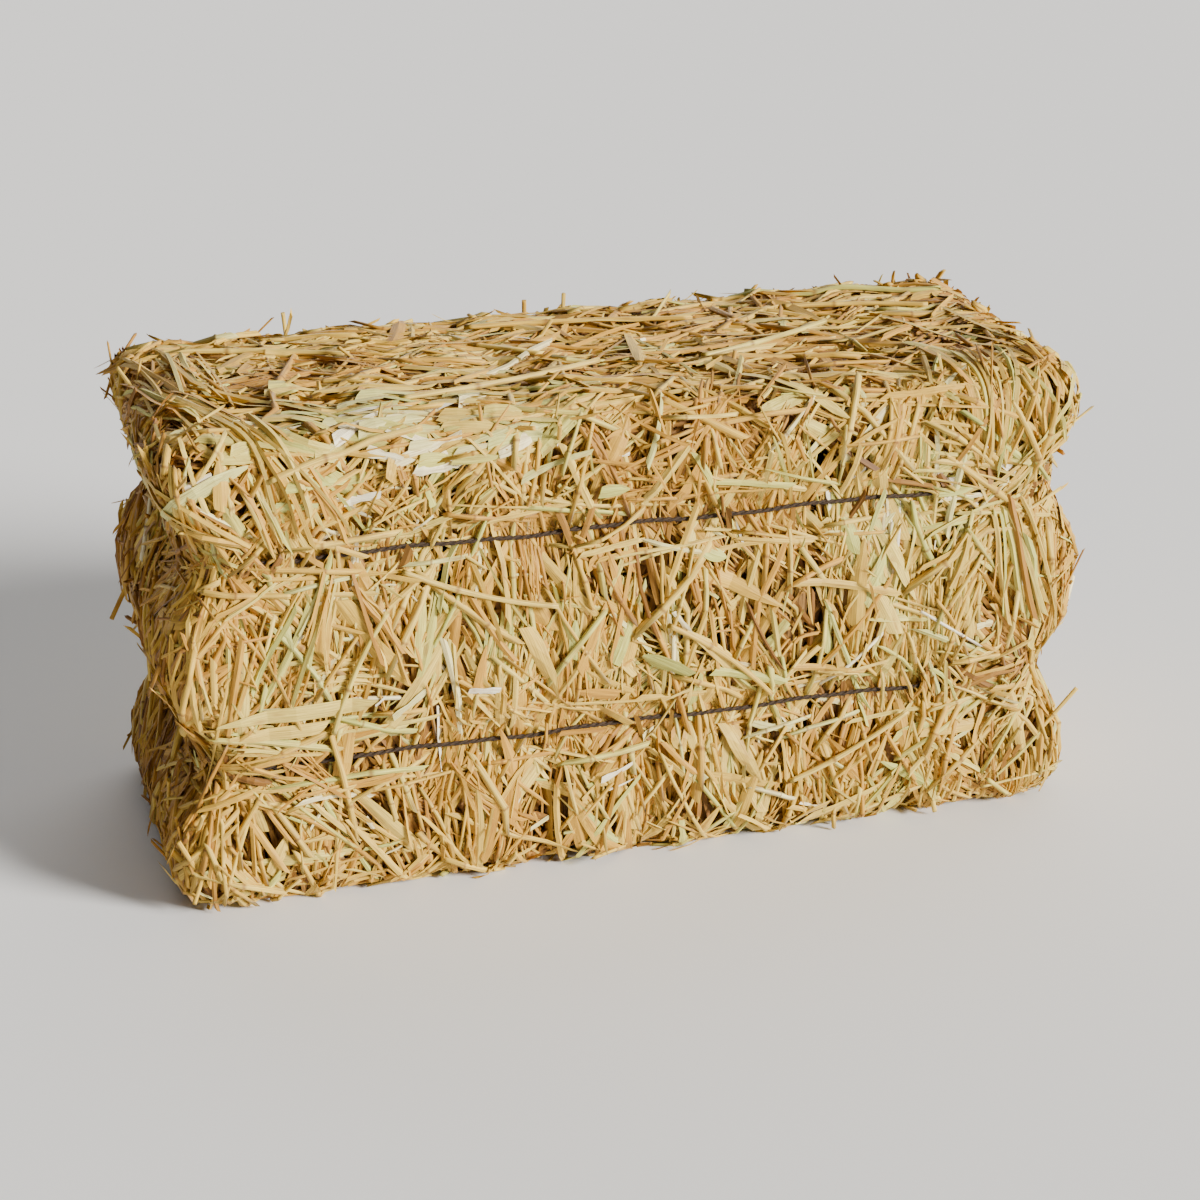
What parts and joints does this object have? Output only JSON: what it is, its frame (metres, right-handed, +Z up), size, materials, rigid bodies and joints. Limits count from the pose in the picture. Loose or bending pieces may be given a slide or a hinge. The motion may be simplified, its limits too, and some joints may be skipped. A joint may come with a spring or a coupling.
{
  "type": "square hay bale",
  "caption": "Small rectangular bale of pressed golden straw in flakes, standing on its narrow long side and tied lengthwise with dark baler twine.",
  "frame": {"origin": "middle of the underside of the whole bale's box", "axes": "+X along the bale's length, +Y through its depth to the side with the knots, +Z up"},
  "size_m": [0.924, 0.383, 0.4749],
  "materials": {
    "straw": "dry matt golden straw with a slight silky sheen",
    "loose_straw": "paler dry straw, silky",
    "twine": "dark brown twisted fibre"
  },
  "bodies": {
    "root": {"flake_01": "straw", "flake_02": "straw", "flake_03": "straw", "flake_04": "straw", "flake_05": "straw", "flake_06": "straw", "flake_07": "straw", "flake_08": "straw", "flake_09": "straw", "flake_10": "straw", "loose_stalk_01": "loose_straw", "loose_stalk_02": "loose_straw", "loose_stalk_03": "loose_straw", "loose_stalk_04": "loose_straw", "loose_stalk_05": "loose_straw", "loose_stalk_06": "loose_straw", "loose_stalk_07": "loose_straw", "loose_stalk_08": "loose_straw", "loose_stalk_09": "loose_straw", "loose_stalk_10": "loose_straw", "loose_stalk_11": "loose_straw", "loose_stalk_12": "loose_straw", "twine_lower": "twine", "twine_upper": "twine"}
  },
  "joints": []
}
